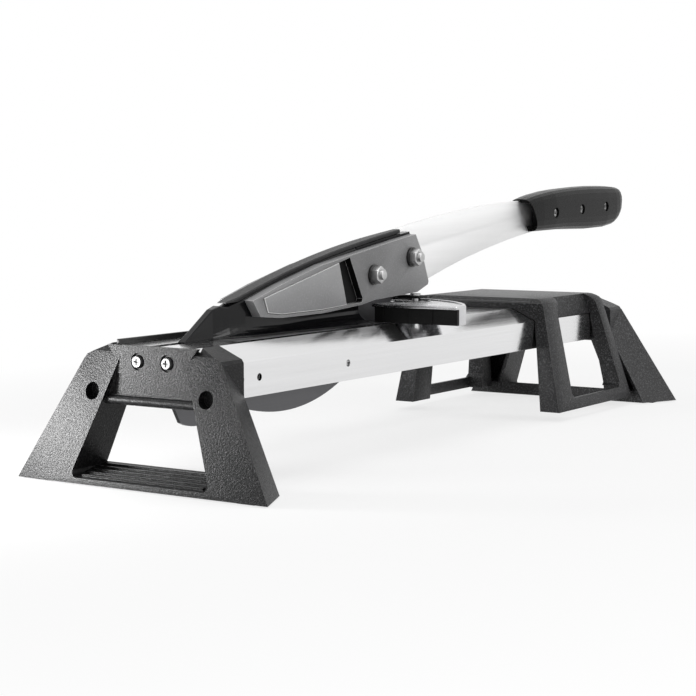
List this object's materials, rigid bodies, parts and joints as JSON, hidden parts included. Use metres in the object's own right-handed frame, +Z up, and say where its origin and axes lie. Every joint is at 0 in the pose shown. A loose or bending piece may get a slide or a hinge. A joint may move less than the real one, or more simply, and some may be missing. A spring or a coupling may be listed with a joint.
{
  "type": "laminate cutter",
  "caption": "Bench guillotine for laminate boards: a beam on two feet, a lever with a curved knife, a swivelling fence and a lift-off work support.",
  "frame": {"origin": "on the floor, in the middle of the box round the whole tool at rest", "axes": "+X to the right of the tool, +Y along the beam from the front foot to the grip, +Z up"},
  "size_m": [0.2328, 0.7908, 0.2155],
  "materials": {
    "anodised_aluminium": "fine matt anodised extrusion",
    "fence_aluminium": "satin die-cast aluminium",
    "rail_plastic": "satin black",
    "guide_plastic": "matt black",
    "foot_plastic": "dark grey with a spark-eroded grain",
    "pad_rubber": "matt black rubber",
    "blade_steel": "ground tool steel",
    "knife_steel": "dark hardened tool steel",
    "arm_steel": "bright brushed steel",
    "zinc_steel": "bright zinc plating",
    "bush_brass": "turned bearing bronze",
    "shroud_plastic": "satin black moulding",
    "cap_plastic": "grained charcoal",
    "cover_plastic": "grained charcoal",
    "grip_plastic": "satin black with a light grain"
  },
  "bodies": {
    "root": {"beam": "anodised_aluminium", "left_rail": "rail_plastic", "counter_blade": "blade_steel", "counter_blade_screws": "zinc_steel", "blade_guide": "guide_plastic", "front_foot": "foot_plastic", "rear_foot": "foot_plastic", "front_foot_screws": "zinc_steel", "rear_foot_screws": "zinc_steel", "foot_pads": "pad_rubber", "pivot_bolt": "zinc_steel", "pivot_nut": "zinc_steel", "pivot_washers": "zinc_steel", "fence_studs": "zinc_steel", "fence_clamp": "guide_plastic", "fence_clamp_screws": "zinc_steel"},
    "fence": {"fence": "fence_aluminium", "fence_facing_left": "guide_plastic", "fence_facing_right": "guide_plastic"},
    "lever": {"knife": "knife_steel", "pivot_bush": "bush_brass", "lever_arm": "arm_steel", "shroud_right": "shroud_plastic", "shroud_left": "shroud_plastic", "spine_cap": "cap_plastic", "cover_right": "cover_plastic", "cover_left": "cover_plastic", "inlay_right": "cover_plastic", "inlay_left": "cover_plastic", "lever_bolts": "zinc_steel", "lever_washers": "zinc_steel", "lever_nuts": "zinc_steel", "grip_right": "grip_plastic", "grip_left": "grip_plastic", "grip_screws": "zinc_steel", "grip_nuts": "zinc_steel"},
    "support": {"work_support": "foot_plastic"}
  },
  "joints": [
    {"name": "lever_pivot", "type": "hinge", "parent": "root", "child": "lever", "pos_m": [0, -0.3286, 0.08], "axis": [1, 0, 0], "range_deg": [0, 75]},
    {"name": "fence_swivel", "type": "hinge", "parent": "root", "child": "fence", "pos_m": [0, -0.0906, 0.103], "axis": [0, 0, 1], "range_deg": [-30, 30]},
    {"name": "support_lift", "type": "slide", "parent": "root", "child": "support", "axis": [0, 0, 1], "range_m": [0, 0.035]}
  ]
}
